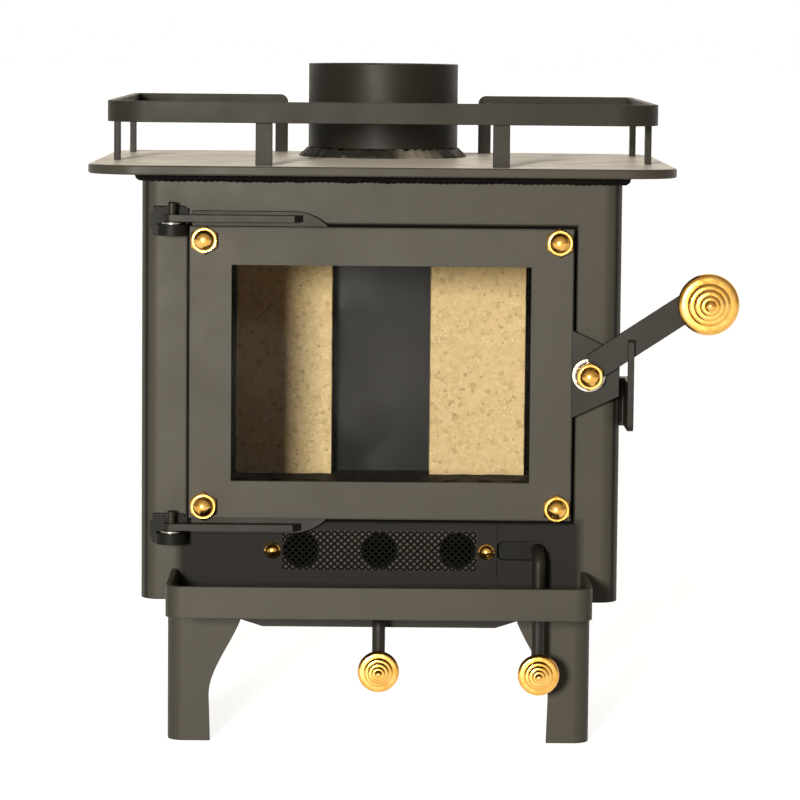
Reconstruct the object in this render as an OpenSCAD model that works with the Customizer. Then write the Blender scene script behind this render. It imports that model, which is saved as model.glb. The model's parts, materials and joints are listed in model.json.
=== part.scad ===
// Small wood burning cabin stove, free-standing, in millimetres.
// Front faces -Y, the door is hinged on its left side, the flue leaves through the top.

/* [Body] */
// Width of the firebox body
body_w = 229; // [200:1:260]
// Depth of the firebox body
body_d = 190; // [170:1:220]
// Height of the body's walls
body_h = 204; // [200:1:215]
// Thickness of the body's steel plate
wall = 4; // [3:0.5:5]
// Outside radius of the body's folded front corners
body_r = 9; // [6:1:12]

/* [Top plate] */
// Width of the cooking plate
plate_w = 280; // [270:1:300]
// Depth of the cooking plate
plate_d = 228; // [220:1:250]
// Thickness of the cooking plate
plate_t = 4.5; // [3:0.5:6]
// How far the plate stands out in front of the body
plate_front = 20; // [15:1:30]
// Radius of the plate's corners
plate_r = 25; // [15:1:35]
// Leg of the chamfered weld seam under the plate
seam = 4.5; // [3:0.5:5]

/* [Flue] */
// Outside diameter of the flue collar
collar_d = 76; // [76:1:80]
// Wall of the flue collar
collar_wall = 2.5; // [2:0.5:3]
// Height of the collar above the plate
collar_h = 47; // [40:1:60]
// Distance of the flue's axis behind the body's front face
collar_y = 140; // [130:1:145]

/* [Gallery rail] */
// Distance of the rail from the plate's edges
rail_inset = 9; // [7:1:12]
// Height of the rail's flat bar
rail_h = 10; // [8:1:12]
// Thickness of the rail's flat bar
rail_t = 3; // [2:0.5:4]
// Gap between the plate and the rail
rail_gap = 20; // [15:1:30]
// Outside radius of the rail's front corners
rail_r = 20; // [12:1:24]
// Width of the rail's posts
post_w = 8; // [6:1:10]
// Half of the gap in the rear rail, where the flue passes
rear_gap = 50; // [46:1:60]

/* [Door] */
// Width of the door
door_w = 182; // [176:1:186]
// Height of the door
door_h = 139; // [134:1:142]
// Height of the door's bottom edge above the floor
door_z = 109; // [107:0.5:112]
// Width of the frame beside the window
border_x = 20; // [18:1:24]
// Width of the frame above and below the window
border_z = 18; // [16:1:22]
// Thickness of each of the door's two plates
door_t = 3; // [2.5:0.5:3.5]
// Across flats of the brass dome nuts
nut_af = 12; // [10:0.5:13]

/* [Hinge] */
// Radius of the hinge pins
pin_r = 2; // [1.5:0.5:2.5]
// Distance of the hinge pin beside the door
pin_out = 8.3; // [8:0.1:9]
// Length of the hinge straps
strap_l = 62; // [50:1:70]
// Thickness of the hinge straps
strap_t = 3.2; // [2.5:0.1:4]
// Running clearance between a pin or stud and its eye, on the radius
run_gap = 0.06; // [0.03:0.01:0.09]

/* [Latch] */
// Distance of the handle's pivot beside the door
pivot_out = 7.7; // [7:0.1:9]
// Height of the handle's pivot above the floor
pivot_z = 179; // [170:1:185]
// Sideways reach from the pivot to the knob
knob_dx = 55.5; // [50:0.5:60]
// Rise from the pivot to the knob
knob_dz = 34.8; // [30:0.5:40]
// Width of the handle's arm
arm_w = 13; // [11:0.5:14]
// Distance of the arm's middle line above the pivot
arm_lift = 2.4; // [0:0.1:3]
// Turn of the arm against the line from the pivot to the knob
arm_turn = 1.3; // [0:0.1:3]
// Thickness of the handle's arm
arm_t = 3.7; // [3:0.1:4]
// Diameter of the handle's knob
knob_d = 29.2; // [24:0.1:32]

/* [Air controls] */
// Diameter of the air holes in the front
air_hole_d = 17; // [14:0.5:18]
// Distance between the air holes
air_pitch = 37.5; // [34:0.5:40]
// Height of the air holes above the floor
air_z = 93; // [91:0.5:94]
// Travel of the front air slide
air_travel = 16; // [12:0.5:16]
// Travel of the primary air slide
primary_travel = 25; // [15:1:25]
// Diameter of the control rods
rod_d = 6.2; // [5:0.2:6.4]
// Diameter of the control knobs
small_knob_d = 19.8; // [16:0.2:22]

/* [Legs and ash lip] */
// Height of the legs
leg_h = 68.5; // [60:0.5:72]
// Half of the width over the front legs
leg_front_x = 101.6; // [98:0.1:104]
// Half of the width over the rear legs
leg_rear_x = 108.5; // [104:0.5:112]
// Thickness of the legs' and the ash lip's steel
sheet_t = 3; // [2:0.5:4]
// Reach of the ash lip in front of the body
lip_d = 59; // [50:1:65]
// Half of the width over the ash lip
lip_x = 99.5; // [95:0.5:105]
// Height of the ash lip's band
lip_h = 15; // [12:1:18]

/* [Firebox] */
// Height of the grate's top above the floor
grate_z = 110; // [108:0.5:112]
// Thickness of the firebricks
brick_t = 19.5; // [15:0.5:21]
// Width of each rear firebrick
rear_brick_w = 49.8; // [40:0.1:52]
// Half of the gap between the rear firebricks
rear_brick_gap = 25.4; // [20:0.1:30]

/* [Hidden] */
$fn = 48;
paint = "#4a4743";
dark_paint = "#33312e";
steel = "#6a6863";
brass = "#d9a93a";
vermiculite = "#c9ab6c";
rope = "#8c8a85";

body_top = leg_h + body_h;
plate_top = body_top + plate_t;
plate_y0 = -plate_front;
plate_y1 = plate_y0 + plate_d;
rail_z0 = plate_top + rail_gap;
rail_z1 = rail_z0 + rail_h;
rail_x = plate_w / 2 - rail_inset;
rail_y0 = plate_y0 + rail_inset;
rail_y1 = plate_y1 - rail_inset;
front_post_x = 56;
foot_ring_h = 4.5;
side_post_share = [0.325, 0.84];

door_gap = 3;
door_y1 = -door_gap;
door_ymid = door_y1 - door_t;
door_y0 = door_ymid - door_t;
door_top = door_z + door_h;
glass_over = 6;
glass_t = 3;
glass_w = door_w - 2 * border_x + 2 * glass_over;
glass_h = door_h - 2 * border_z + 2 * glass_over;
mouth_w = glass_w + 10;
mouth_h = glass_h + 8;
stud_x = door_w / 2 - 7;
stud_dz = 6.2;
stud_r = 2.5;
nut_h = 4.5;

hinge_x = -door_w / 2 - pin_out;
hinge_y = door_y0;
eye_r = 4.2;
lug_r = 7.4;
lug_t = 5;
washer_t = 1.2;
strap_lift = 2.4;
play = 0.3;
upper_strap_z = door_top + strap_lift;
lower_strap_z = door_z - strap_lift - strap_t;

pivot_x = door_w / 2 + pivot_out;
latch_y1 = door_ymid + 0.5;
latch_t = 3;
latch_y0 = latch_y1 - latch_t;
washer_r = 8;
arm_y1 = latch_y0 - washer_t - play;
arm_y0 = arm_y1 - arm_t;
arm_l = sqrt(knob_dx * knob_dx + knob_dz * knob_dz);
arm_angle = atan2(knob_dz, knob_dx);
knob_screw_r = 2;
knob_screw_l = 7;
keeper_x = body_w / 2 + 2.2;
keeper_t = 3;
keeper_z0 = pivot_z - 26;
keeper_floor = keeper_z0 + 23;
keeper_top = pivot_z + 17.5;

slot_x0 = 56.4;
slot_x1 = slot_x0 + air_travel + rod_d + 0.8;
air_rod_x = slot_x1 - 0.4 - rod_d / 2;
air_rod_y = -14;
small_knob_z = 37.5;
small_knob_y = -21.5;
rod_in_knob = 4.5;
screen_w = 93;
screen_h = 19;
cover_w = 112.4;
cover_z0 = leg_h + 11.5;
cover_z1 = door_z - 2.3;
cover_t = 1.2;
slide_t = 2;
slide_gap = 0.3;
slide_half_h = 12;
guide_t = 2.4;

pan_bottom = leg_h - 13.2;
pan_half = 56;
pan_y0 = sheet_t + 0.5;
pan_d = 150;
pan_t = 1.5;
primary_rod_z = leg_h - 6;
primary_slide_z = leg_h - 2.6;
primary_slide_y = 32;
primary_hole_w = 60;
primary_hole_l = 20;
primary_hole_y = 45;

inner_w = body_w - 2 * wall;
inner_y1 = body_d - wall;
grate_t = 6;
brick_top = grate_z + 126;
rear_brick_y = inner_y1 - brick_t - 0.5;
baffle_t = 8;

foot_w = 20.7;
neck_w = 20;
leg_top_w = 37.7;
leg_r = 8;
sweep_z = 22;

knob_right = pivot_x + knob_dx + knob_d / 2;
shift_x = -(knob_right - plate_w / 2) / 2;
shift_y = -(plate_y1 - lip_d) / 2;

// ---- shared shapes ----

// Moves the body-centred layout to the part's origin, under the centre of its box.
module placed() {
    translate([shift_x, shift_y, 0]) children();
}

// A box given by its two corners.
module block(low, high) {
    translate(low) cube(high - low);
}

// A plan rectangle with one radius at its front corners and one at its rear corners.
module plan_rect(x0, x1, y0, y1, r_front, r_rear) {
    union() {
        translate([x0 + r_front, y0]) square([x1 - x0 - 2 * r_front, r_front + 1]);
        translate([x0 + r_rear, y1 - r_rear - 1]) square([x1 - x0 - 2 * r_rear, r_rear + 1]);
        translate([x0, y0 + r_front]) square([x1 - x0, y1 - y0 - r_front - r_rear]);
        for (x = [x0 + r_front, x1 - r_front]) translate([x, y0 + r_front]) circle(r_front);
        if (r_rear > 0.1)
            for (x = [x0 + r_rear, x1 - r_rear]) translate([x, y1 - r_rear]) circle(r_rear);
    }
}

// Extrudes an outline drawn in X and Z along Y, from y0 to y1.
module along_y(y0, y1) {
    translate([0, y1, 0]) rotate([90, 0, 0]) linear_extrude(y1 - y0) children();
}

// Extrudes an outline drawn in Y and Z along X, from x0 to x1.
module along_x(x0, x1) {
    translate([x0, 0, 0]) rotate([90, 0, 90]) linear_extrude(x1 - x0) children();
}

// A round bar along Y, from y0 to y1.
module bar_y(x, z, r, y0, y1) {
    translate([x, y1, z]) rotate([90, 0, 0]) cylinder(r = r, h = y1 - y0);
}

// A rectangular frame in X and Z, centred on x = 0.
module frame_outline(w, h, z_mid, border) {
    difference() {
        translate([-w / 2, z_mid - h / 2]) square([w, h]);
        translate([-w / 2 + border, z_mid - h / 2 + border]) square([w - 2 * border, h - 2 * border]);
    }
}

// A hexagonal dome nut on the face y, pointing to -Y.
module dome_nut(x, y, z, af, h) {
    across = af / cos(30);
    translate([x, y, z]) rotate([90, 0, 0]) difference() {
        union() {
            intersection() {
                cylinder(d = across, h = h, $fn = 6);
                cylinder(r1 = across / 2 + h - 1, r2 = across / 2 - 1, h = h);
            }
            intersection() {
                translate([0, 0, h]) sphere(af * 0.42);
                translate([0, 0, h - 0.5]) cylinder(d = af, h = af);
            }
        }
        translate([0, 0, -1]) cylinder(r = stud_r, h = h + 1);
    }
}

// A stepped beehive knob with its back at y and its axis along -Y, and a blind hole in its back.
// Each ring is its outer radius, its height and the radius of its rounded edge, on a 29.2 mm knob.
module beehive_knob(x, y, z, d, hole_r, hole_l) {
    k = d / 29.2;
    rings = [[14.6, 4.6, 2.9], [10.2, 8.7, 2.1], [7.6, 11.9, 2], [5, 14.9, 1.8]];
    translate([x, y, z]) rotate([90, 0, 0]) rotate_extrude($fn = 96) difference() {
        scale(k) union() {
            square([6.4, 3]);
            for (ring = rings) {
                translate([ring[0] - ring[2], ring[1]]) circle(ring[2]);
                translate([0, ring[1] - ring[2]]) square([ring[0] - ring[2], 2 * ring[2]]);
            }
            translate([0, 16]) circle(3);
            translate([0, 2]) square([7, 4]);
        }
        translate([-20, -5]) square([20, 40]);
        translate([-1, -1]) square([1 + hole_r, 1 + hole_l]);
    }
}

// A rod that comes forward from y_back, turns down, and turns forward again to y_front.
module cranked_rod(x, z_top, y_back, y_drop, z_low, y_front) {
    bend = 6;
    r = rod_d / 2;
    bar_y(x, z_top, r, y_drop + bend, y_back);
    translate([x, y_drop + bend, z_top - bend]) rotate([90, 0, -90])
        rotate_extrude(angle = 90) translate([bend, 0]) circle(r);
    translate([x, y_drop, z_low + bend]) cylinder(r = r, h = z_top - z_low - 2 * bend);
    translate([x, y_drop - bend, z_low + bend]) rotate([-90, 0, 90])
        rotate_extrude(angle = 90) translate([bend, 0]) circle(r);
    bar_y(x, z_low, r, y_front, y_drop - bend);
}

// ---- body and top ----

module top_plate() {
    color(steel) placed() difference() {
        translate([0, 0, body_top]) linear_extrude(plate_t)
            plan_rect(-plate_w / 2, plate_w / 2, plate_y0, plate_y1, plate_r, plate_r);
        translate([0, collar_y, body_top - 1]) cylinder(r = collar_d / 2 - collar_wall, h = plate_t + 2);
    }
}

// The chamfered seam between the body's walls and the plate.
module top_seam() {
    corner_x = body_w / 2 - body_r;
    z0 = body_top - seam;
    color(dark_paint) placed() {
        for (s = [-1, 1]) {
            translate([s * corner_x, body_r, z0])
                rotate([0, 0, s < 0 ? 180 : 270])
                rotate_extrude(angle = 90)
                polygon([[body_r, 0], [body_r + seam, seam], [body_r, seam]]);
            along_y(body_r, body_d)
                polygon([
                    [s * body_w / 2, z0],
                    [s * (body_w / 2 + seam), body_top],
                    [s * body_w / 2, body_top]
                ]);
        }
        along_x(-corner_x, corner_x)
            polygon([[0, z0], [-seam, body_top], [0, body_top]]);
        along_x(-body_w / 2, body_w / 2)
            polygon([[body_d, z0], [body_d + seam, body_top], [body_d, body_top]]);
    }
}

// Front and sides folded from one plate, with the fire mouth, air holes and control slot.
module body_shell() {
    mouth_z = door_z + door_h / 2;
    color(paint) placed() difference() {
        translate([0, 0, leg_h]) linear_extrude(body_h) difference() {
            plan_rect(-body_w / 2, body_w / 2, 0, body_d, body_r, 0);
            plan_rect(-inner_w / 2, inner_w / 2, wall, body_d + 1, body_r - wall, 0);
        }
        block([-mouth_w / 2, -1, mouth_z - mouth_h / 2], [mouth_w / 2, wall + 1, mouth_z + mouth_h / 2]);
        for (i = [-1 : 1]) bar_y(i * air_pitch, air_z, air_hole_d / 2, -1, wall + 1);
        control_slot(-1, wall + 1);
    }
}

module control_slot(y0, y1) {
    half_h = 4.5;
    end_r = 3.2;
    along_y(y0, y1) union() {
        translate([slot_x0 + end_r, air_z + 0.3 - half_h])
            square([slot_x1 - slot_x0 - 2 * end_r, 2 * half_h]);
        translate([slot_x0, air_z + 0.3 - half_h + end_r])
            square([slot_x1 - slot_x0, 2 * (half_h - end_r)]);
        for (x = [slot_x0 + end_r, slot_x1 - end_r], s = [-1, 1])
            translate([x, air_z + 0.3 + s * (half_h - end_r)]) circle(end_r);
    }
}

module back_panel() {
    color(paint) placed()
        block([-inner_w / 2, inner_y1, leg_h], [inner_w / 2, body_d, body_top]);
}

module base_plate() {
    color(dark_paint) placed() difference() {
        block([-inner_w / 2, wall, leg_h], [inner_w / 2, inner_y1, leg_h + wall]);
        for (s = [-1, 1]) translate([s * inner_w / 2, wall, leg_h - 1]) difference() {
            translate([-s * (body_r - wall) / 2, (body_r - wall) / 2, wall / 2 + 1])
                cube([body_r - wall, body_r - wall, wall + 4], center = true);
            translate([-s * (body_r - wall), body_r - wall, -2]) cylinder(r = body_r - wall, h = wall + 6);
        }
        block([-primary_hole_w / 2, primary_hole_y, leg_h - 1],
            [primary_hole_w / 2, primary_hole_y + primary_hole_l, leg_h + wall + 1]);
    }
}

module flue_collar() {
    color(dark_paint) placed() translate([0, collar_y, plate_top + foot_ring_h]) difference() {
        cylinder(d = collar_d, h = collar_h - foot_ring_h, $fn = 96);
        translate([0, 0, -1]) cylinder(r = collar_d / 2 - collar_wall, h = collar_h, $fn = 96);
    }
}

// The flared ring that the collar stands on.
module flue_foot() {
    flare = foot_ring_h - 0.4;
    color(dark_paint) placed() translate([0, collar_y, plate_top]) rotate_extrude($fn = 96) difference() {
        translate([collar_d / 2 - collar_wall, 0]) square([collar_wall + foot_ring_h, foot_ring_h]);
        translate([collar_d / 2 + foot_ring_h, foot_ring_h]) circle(flare);
        translate([collar_d / 2, foot_ring_h - 0.8]) square([foot_ring_h + 1, 1]);
    }
}

// ---- gallery rail ----

module rail_front() {
    color(paint) placed() translate([0, 0, rail_z0]) linear_extrude(rail_h) difference() {
        plan_rect(-rail_x, rail_x, rail_y0, rail_y1 - rail_t, rail_r, 0);
        plan_rect(-rail_x + rail_t, rail_x - rail_t, rail_y0 + rail_t, rail_y1 + 1, rail_r - rail_t, 0);
    }
}

// One rear rail: a flat bar whose inner end turns down to the plate.
module rail_rear(s) {
    turn_r = 4;
    leg_w = 6.6;
    color(paint) placed() along_y(rail_y1 - rail_t, rail_y1) union() {
        translate([min(s * rail_x, s * (rear_gap + turn_r)), rail_z0])
            square([rail_x - rear_gap - turn_r, rail_h]);
        translate([min(s * rear_gap, s * (rear_gap + leg_w)), plate_top])
            square([leg_w, rail_z1 - plate_top - turn_r]);
        translate([s * (rear_gap + turn_r), rail_z1 - turn_r]) circle(turn_r);
    }
}

module rail_rear_left() {
    rail_rear(-1);
}

module rail_rear_right() {
    rail_rear(1);
}

module rail_posts() {
    color(paint) placed() {
        for (s = [-1, 1]) {
            block([s * front_post_x - post_w / 2, rail_y0, plate_top],
                [s * front_post_x + post_w / 2, rail_y0 + rail_t, rail_z0]);
            for (share = side_post_share) {
                y = plate_y0 + share * plate_d;
                block([min(s * rail_x, s * (rail_x - rail_t)), y - post_w / 2, plate_top],
                    [max(s * rail_x, s * (rail_x - rail_t)), y + post_w / 2, rail_z0]);
            }
        }
    }
}

// ---- legs and ash lip ----

module ash_shelf() {
    color(paint) placed() difference() {
        translate([0, 0, leg_h]) linear_extrude(sheet_t)
            plan_rect(-lip_x + sheet_t, lip_x - sheet_t, -lip_d + sheet_t, 0, leg_r - sheet_t, 0);
        block([slot_x0 - 2, air_rod_y - rod_d / 2 - 2, leg_h - 1],
            [slot_x1 + 2, air_rod_y + rod_d / 2 + 2, leg_h + sheet_t + 1]);
    }
}

module ash_lip() {
    color(paint) placed() translate([0, 0, leg_h]) linear_extrude(lip_h) difference() {
        plan_rect(-lip_x, lip_x, -lip_d, 0, leg_r, 0);
        plan_rect(-lip_x + sheet_t, lip_x - sheet_t, -lip_d + sheet_t, 1, leg_r - sheet_t, 0);
    }
}

// The width of a leg's face at a height: narrow near the floor, then a smooth sweep to full width.
function sweep(t) = t * t * (3 - 2 * t);
function leg_width(z) = z <= sweep_z
    ? neck_w + (foot_w - neck_w) * (1 - z / sweep_z)
    : neck_w + (leg_top_w - neck_w) * sweep((z - sweep_z) / (leg_h + 1.5 - sweep_z));

module leg_face() {
    steps = 20;
    polygon(concat(
        [[0, 0], [leg_width(0), 0]],
        [for (i = [0 : steps]) let (z = sweep_z + (leg_h - sweep_z) * i / steps) [leg_width(z), z]],
        [[0, leg_h]]
    ));
}

// An angle leg with a rounded outer corner; its front face is at y = 0 and its outer face at x = 0.
module leg_shape() {
    intersection() {
        linear_extrude(leg_h) difference() {
            plan_rect(0, leg_top_w * 2, 0, leg_top_w * 2, leg_r, 0);
            plan_rect(sheet_t, leg_top_w * 3, sheet_t, leg_top_w * 3, leg_r - sheet_t, 0);
        }
        union() {
            along_y(-1, leg_r) leg_face();
            along_x(-1, leg_r) leg_face();
        }
    }
}

// One leg: sx and sy say which side of the body it stands on.
module leg(half_x, y_edge, sx, sy) {
    color(paint) placed() translate([sx * half_x, y_edge, 0])
        mirror([sx > 0 ? 1 : 0, 0, 0]) mirror([0, sy > 0 ? 1 : 0, 0]) leg_shape();
}

module leg_front_left() {
    leg(leg_front_x, 0, -1, -1);
}

module leg_front_right() {
    leg(leg_front_x, 0, 1, -1);
}

module leg_rear_left() {
    leg(leg_rear_x, body_d, -1, 1);
}

module leg_rear_right() {
    leg(leg_rear_x, body_d, 1, 1);
}

// ---- air supply ----

module air_cover_plate() {
    color(paint) placed() difference() {
        block([-cover_w / 2, -cover_t, cover_z0], [cover_w / 2, 0, cover_z1]);
        block([-screen_w / 2, -cover_t - 1, air_z - screen_h / 2],
            [screen_w / 2, 1, air_z + screen_h / 2]);
        for (s = [-1, 1]) bar_y(s * (cover_w / 2 - 5), air_z, 1.6, -cover_t - 1, 1);
    }
}

// A sheet with staggered perforations that fills the cover plate's window.
module air_screen() {
    pitch_x = 6.2;
    pitch_z = 3;
    hole_r = 1.15;
    rows = 5;
    color(dark_paint) placed() difference() {
        block([-screen_w / 2, -0.8, air_z - screen_h / 2], [screen_w / 2, 0, air_z + screen_h / 2]);
        for (row = [0 : rows - 1]) {
            shifted = row % 2 == 0 ? 0 : pitch_x / 2;
            for (x = [-7 * pitch_x + shifted : pitch_x : 7 * pitch_x])
                translate([x, 0.5, air_z + (row - (rows - 1) / 2) * pitch_z])
                    rotate([90, 0, 0]) cylinder(r = hole_r, h = 2, $fn = 6);
        }
    }
}

module air_screen_nuts() {
    color(brass) placed() for (s = [-1, 1]) translate([s * (cover_w / 2 - 5), -cover_t, air_z])
        rotate([90, 0, 0]) {
            cylinder(r = 3.9, h = 1.4);
            intersection() {
                translate([0, 0, 1.4]) sphere(3.2);
                cylinder(r = 3.5, h = 6);
            }
            translate([0, 0, -cover_t]) cylinder(r = 1.5, h = cover_t);
        }
}

// Two stepped strips behind the front wall that carry the air slide.
module air_slide_guides() {
    color(dark_paint) placed() for (s = [-1, 1]) {
        edge = air_z + s * (slide_half_h + play);
        along_x(-72, 92) union() {
            translate([wall, min(edge, edge + s * guide_t)])
                square([slide_t + 2 * slide_gap, guide_t]);
            translate([wall + slide_t + 2 * slide_gap, min(edge - s * 3, edge + s * guide_t)])
                square([1.5, guide_t + 3]);
        }
    }
}

// The air box under the base, open at the rear.
module under_pan() {
    color(dark_paint) placed() difference() {
        along_y(pan_y0, pan_d) polygon(pan_outline(0));
        along_y(pan_y0 + pan_t, pan_d + 1) polygon(pan_outline(pan_t));
        bar_y(0, primary_rod_z, rod_d / 2 + 0.4, pan_y0 - 1, pan_y0 + pan_t + 1);
    }
}

function pan_outline(inset) = [
    [-pan_half + inset / 3, pan_bottom + inset],
    [pan_half - inset / 3, pan_bottom + inset],
    [pan_half + 24 - inset, pan_bottom + 7.7],
    [pan_half + 24 - inset, leg_h + (inset > 0 ? 1 : 0)],
    [-pan_half - 24 + inset, leg_h + (inset > 0 ? 1 : 0)],
    [-pan_half - 24 + inset, pan_bottom + 7.7]
];

module primary_guides() {
    edge = primary_hole_w / 2 + 5.5;
    color(dark_paint) placed() for (s = [-1, 1]) along_y(pan_y0 + 3, 124) union() {
        translate([min(s * edge, s * (edge + 2)), primary_slide_z - 2.4])
            square([2, leg_h - primary_slide_z + 2.4]);
        translate([min(s * (edge - 3), s * edge), primary_slide_z - 2.4]) square([3, 2]);
    }
}

module air_slide() {
    hole_d = 2 * air_travel - air_hole_d;
    y0 = wall + slide_gap;
    color(steel) placed() difference() {
        block([-50, y0, air_z - slide_half_h], [air_rod_x + 7, y0 + slide_t, air_z + slide_half_h]);
        for (i = [-1 : 1]) bar_y(i * air_pitch, air_z, hole_d / 2, y0 - 1, y0 + slide_t + 1);
    }
}

module air_rod() {
    y_front = small_knob_y - rod_in_knob;
    color(dark_paint) placed()
        cranked_rod(air_rod_x, air_z + 0.3, wall + slide_gap, air_rod_y, small_knob_z, y_front);
}

module air_knob() {
    color(brass) placed()
        beehive_knob(air_rod_x, small_knob_y, small_knob_z, small_knob_d, rod_d / 2, rod_in_knob);
}

module primary_slide() {
    slide_w = primary_hole_w + 10;
    y0 = primary_slide_y;
    hole_y = primary_hole_y + primary_travel;
    color(steel) placed() difference() {
        union() {
            block([-slide_w / 2, y0, primary_slide_z], [slide_w / 2, y0 + 66, primary_slide_z + 2.2]);
            block([-8, y0, primary_rod_z - rod_d / 2 - 0.5], [8, y0 + 3, primary_slide_z + 0.5]);
        }
        block([-primary_hole_w / 2, hole_y, primary_slide_z - 1],
            [primary_hole_w / 2, hole_y + primary_hole_l, primary_slide_z + 4]);
    }
}

module primary_rod() {
    y_front = small_knob_y - rod_in_knob;
    color(dark_paint) placed()
        cranked_rod(0, primary_rod_z, primary_slide_y, air_rod_y, small_knob_z + 1, y_front);
}

module primary_knob() {
    color(brass) placed()
        beehive_knob(0, small_knob_y, small_knob_z + 1, small_knob_d, rod_d / 2, rod_in_knob);
}

// ---- hinges on the body ----

// A lug that holds a hinge pin, with its top face at z and a round-cornered upright plate behind it.
module hinge_bracket(z) {
    plate_l = 10.5;
    plate_h = lug_t + 7.5;
    corner_r = 4;
    color(dark_paint) placed() difference() {
        union() {
            translate([hinge_x, hinge_y, z - lug_t]) cylinder(r = lug_r, h = lug_t);
            block([hinge_x - lug_r, hinge_y, z - lug_t], [hinge_x + lug_r, 0, z]);
            translate([hinge_x - plate_l, 0, z - lug_t]) along_y(-2.6, 0) union() {
                translate([0, corner_r]) square([corner_r, plate_h - 2 * corner_r]);
                translate([corner_r, 0]) square([plate_l + lug_r - corner_r, plate_h]);
                for (h = [corner_r, plate_h - corner_r]) translate([corner_r, h]) circle(corner_r);
            }
        }
        translate([hinge_x, hinge_y, z - lug_t - 1]) cylinder(r = pin_r, h = lug_t + 2);
    }
}

module hinge_bracket_upper() {
    hinge_bracket(upper_strap_z - play - washer_t);
}

module hinge_bracket_lower() {
    hinge_bracket(lower_strap_z - play - washer_t);
}

module hinge_pins() {
    above = 6;
    color(steel) placed() for (z = [upper_strap_z, lower_strap_z]) {
        foot = z - play - washer_t - lug_t;
        tip = z + strap_t + above;
        translate([hinge_x, hinge_y, foot]) cylinder(r = pin_r, h = tip - foot - 0.6);
        translate([hinge_x, hinge_y, tip - 0.6]) cylinder(r1 = pin_r, r2 = pin_r - 0.6, h = 0.6);
    }
}

module hinge_washers() {
    color(steel) placed() for (z = [upper_strap_z, lower_strap_z])
        translate([hinge_x, hinge_y, z - play - washer_t]) difference() {
            cylinder(r = 4.9, h = washer_t);
            translate([0, 0, -1]) cylinder(r = pin_r, h = washer_t + 2);
        }
}

// A hooked plate on the body's right side: its front prong stands before the handle's arm.
module latch_keeper() {
    prong_t = 3.4;
    prong_y1 = arm_y0 - 0.5;
    prong_y0 = prong_y1 - prong_t;
    weld_y = body_r + 2;
    color(dark_paint) placed() union() {
        along_x(keeper_x, keeper_x + keeper_t) union() {
            translate([prong_y0 + 3, keeper_z0])
                square([weld_y + 10 - prong_y0 - 3, keeper_floor - keeper_z0]);
            translate([prong_y0, keeper_z0 + 3])
                square([prong_t, keeper_top - keeper_z0 - 3 - prong_t / 2]);
            translate([prong_y0 + 3, keeper_z0 + 3]) circle(3);
            translate([prong_y0 + prong_t / 2, keeper_top - prong_t / 2]) circle(prong_t / 2);
        }
        block([body_w / 2, weld_y, keeper_z0], [keeper_x, weld_y + 10, keeper_floor]);
    }
}

// ---- inside the firebox ----

module rear_brick(s) {
    x_in = s * rear_brick_gap;
    x_out = s * (rear_brick_gap + rear_brick_w);
    color(vermiculite) placed()
        block([min(x_in, x_out), rear_brick_y, grate_z],
            [max(x_in, x_out), rear_brick_y + brick_t, brick_top]);
}

module brick_rear_left() {
    rear_brick(-1);
}

module brick_rear_right() {
    rear_brick(1);
}

module side_brick(s) {
    x_out = s * (inner_w / 2 - 0.3);
    x_in = s * (inner_w / 2 - 0.3 - brick_t);
    color(vermiculite) placed()
        block([min(x_in, x_out), 12, grate_z], [max(x_in, x_out), inner_y1 - 0.5, brick_top]);
}

module brick_side_left() {
    side_brick(-1);
}

module brick_side_right() {
    side_brick(1);
}

// A clip round the top of each rear brick.
module brick_retainers() {
    clip_z = brick_top - 12;
    gap = 0.3;
    t = 2;
    color(dark_paint) placed() for (s = [-1, 1]) {
        x0 = s * (rear_brick_gap - gap - t);
        x1 = s * (rear_brick_gap + rear_brick_w + gap + t);
        difference() {
            block([min(x0, x1), rear_brick_y - gap - t, clip_z], [max(x0, x1), inner_y1, clip_z + 8]);
            block([min(x0, x1) + t, rear_brick_y - gap, clip_z - 1],
                [max(x0, x1) - t, inner_y1 + 1, clip_z + 9]);
        }
    }
}

// A slotted plate that carries the bricks and the fire.
module fire_grate() {
    slots = 9;
    pitch = 18;
    color(dark_paint) placed() difference() {
        block([-inner_w / 2 + 0.3, 10, grate_z - grate_t], [inner_w / 2 - 0.3, inner_y1, grate_z]);
        for (i = [0 : slots - 1])
            translate([(i - (slots - 1) / 2) * pitch, 0, grate_z - grate_t - 1])
                linear_extrude(grate_t + 2) union() {
                    translate([-4, 30]) square([8, 110]);
                    for (y = [30, 140]) translate([0, y]) circle(4);
                }
    }
}

module baffle_plate() {
    z0 = brick_top + 3;
    color(vermiculite) placed()
        block([-inner_w / 2 + 2, 45, z0], [inner_w / 2 - 2, inner_y1 - 2, z0 + baffle_t]);
}

// Ledges on the side walls: a plain pair under the grate, and a pair with a lip round the baffle.
module firebox_ledges() {
    ledge_w = 14;
    ledge_t = 2.5;
    lip_t = 2;
    grate_ledge_z = grate_z - grate_t;
    baffle_ledge_z = brick_top + 3;
    color(dark_paint) placed() for (s = [-1, 1]) along_y(30, inner_y1) {
        for (z = [grate_ledge_z, baffle_ledge_z])
            translate([min(s * inner_w / 2, s * (inner_w / 2 - ledge_w)), z - ledge_t])
                square([ledge_w, ledge_t]);
        translate([min(s * inner_w / 2, s * (inner_w / 2 - lip_t)), baffle_ledge_z]) square([lip_t, 7]);
    }
}

// ---- door ----

module door_frame() {
    edge = 1;
    color(paint) placed() difference() {
        union() {
            along_y(door_y0 + edge, door_ymid)
                translate([-door_w / 2, door_z]) square([door_w, door_h]);
            along_y(door_y0, door_y0 + edge) translate([-door_w / 2 + edge / 2, door_z + edge / 2])
                square([door_w - edge, door_h - edge]);
        }
        block([-door_w / 2 + border_x, door_y0 - 1, door_z + border_z],
            [door_w / 2 - border_x, door_ymid + 1, door_top - border_z]);
        for (s = [-1, 1], z = [door_z + stud_dz, door_top - stud_dz])
            bar_y(s * stud_x, z, stud_r, door_y0 - 1, door_ymid + 1);
    }
}

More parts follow.
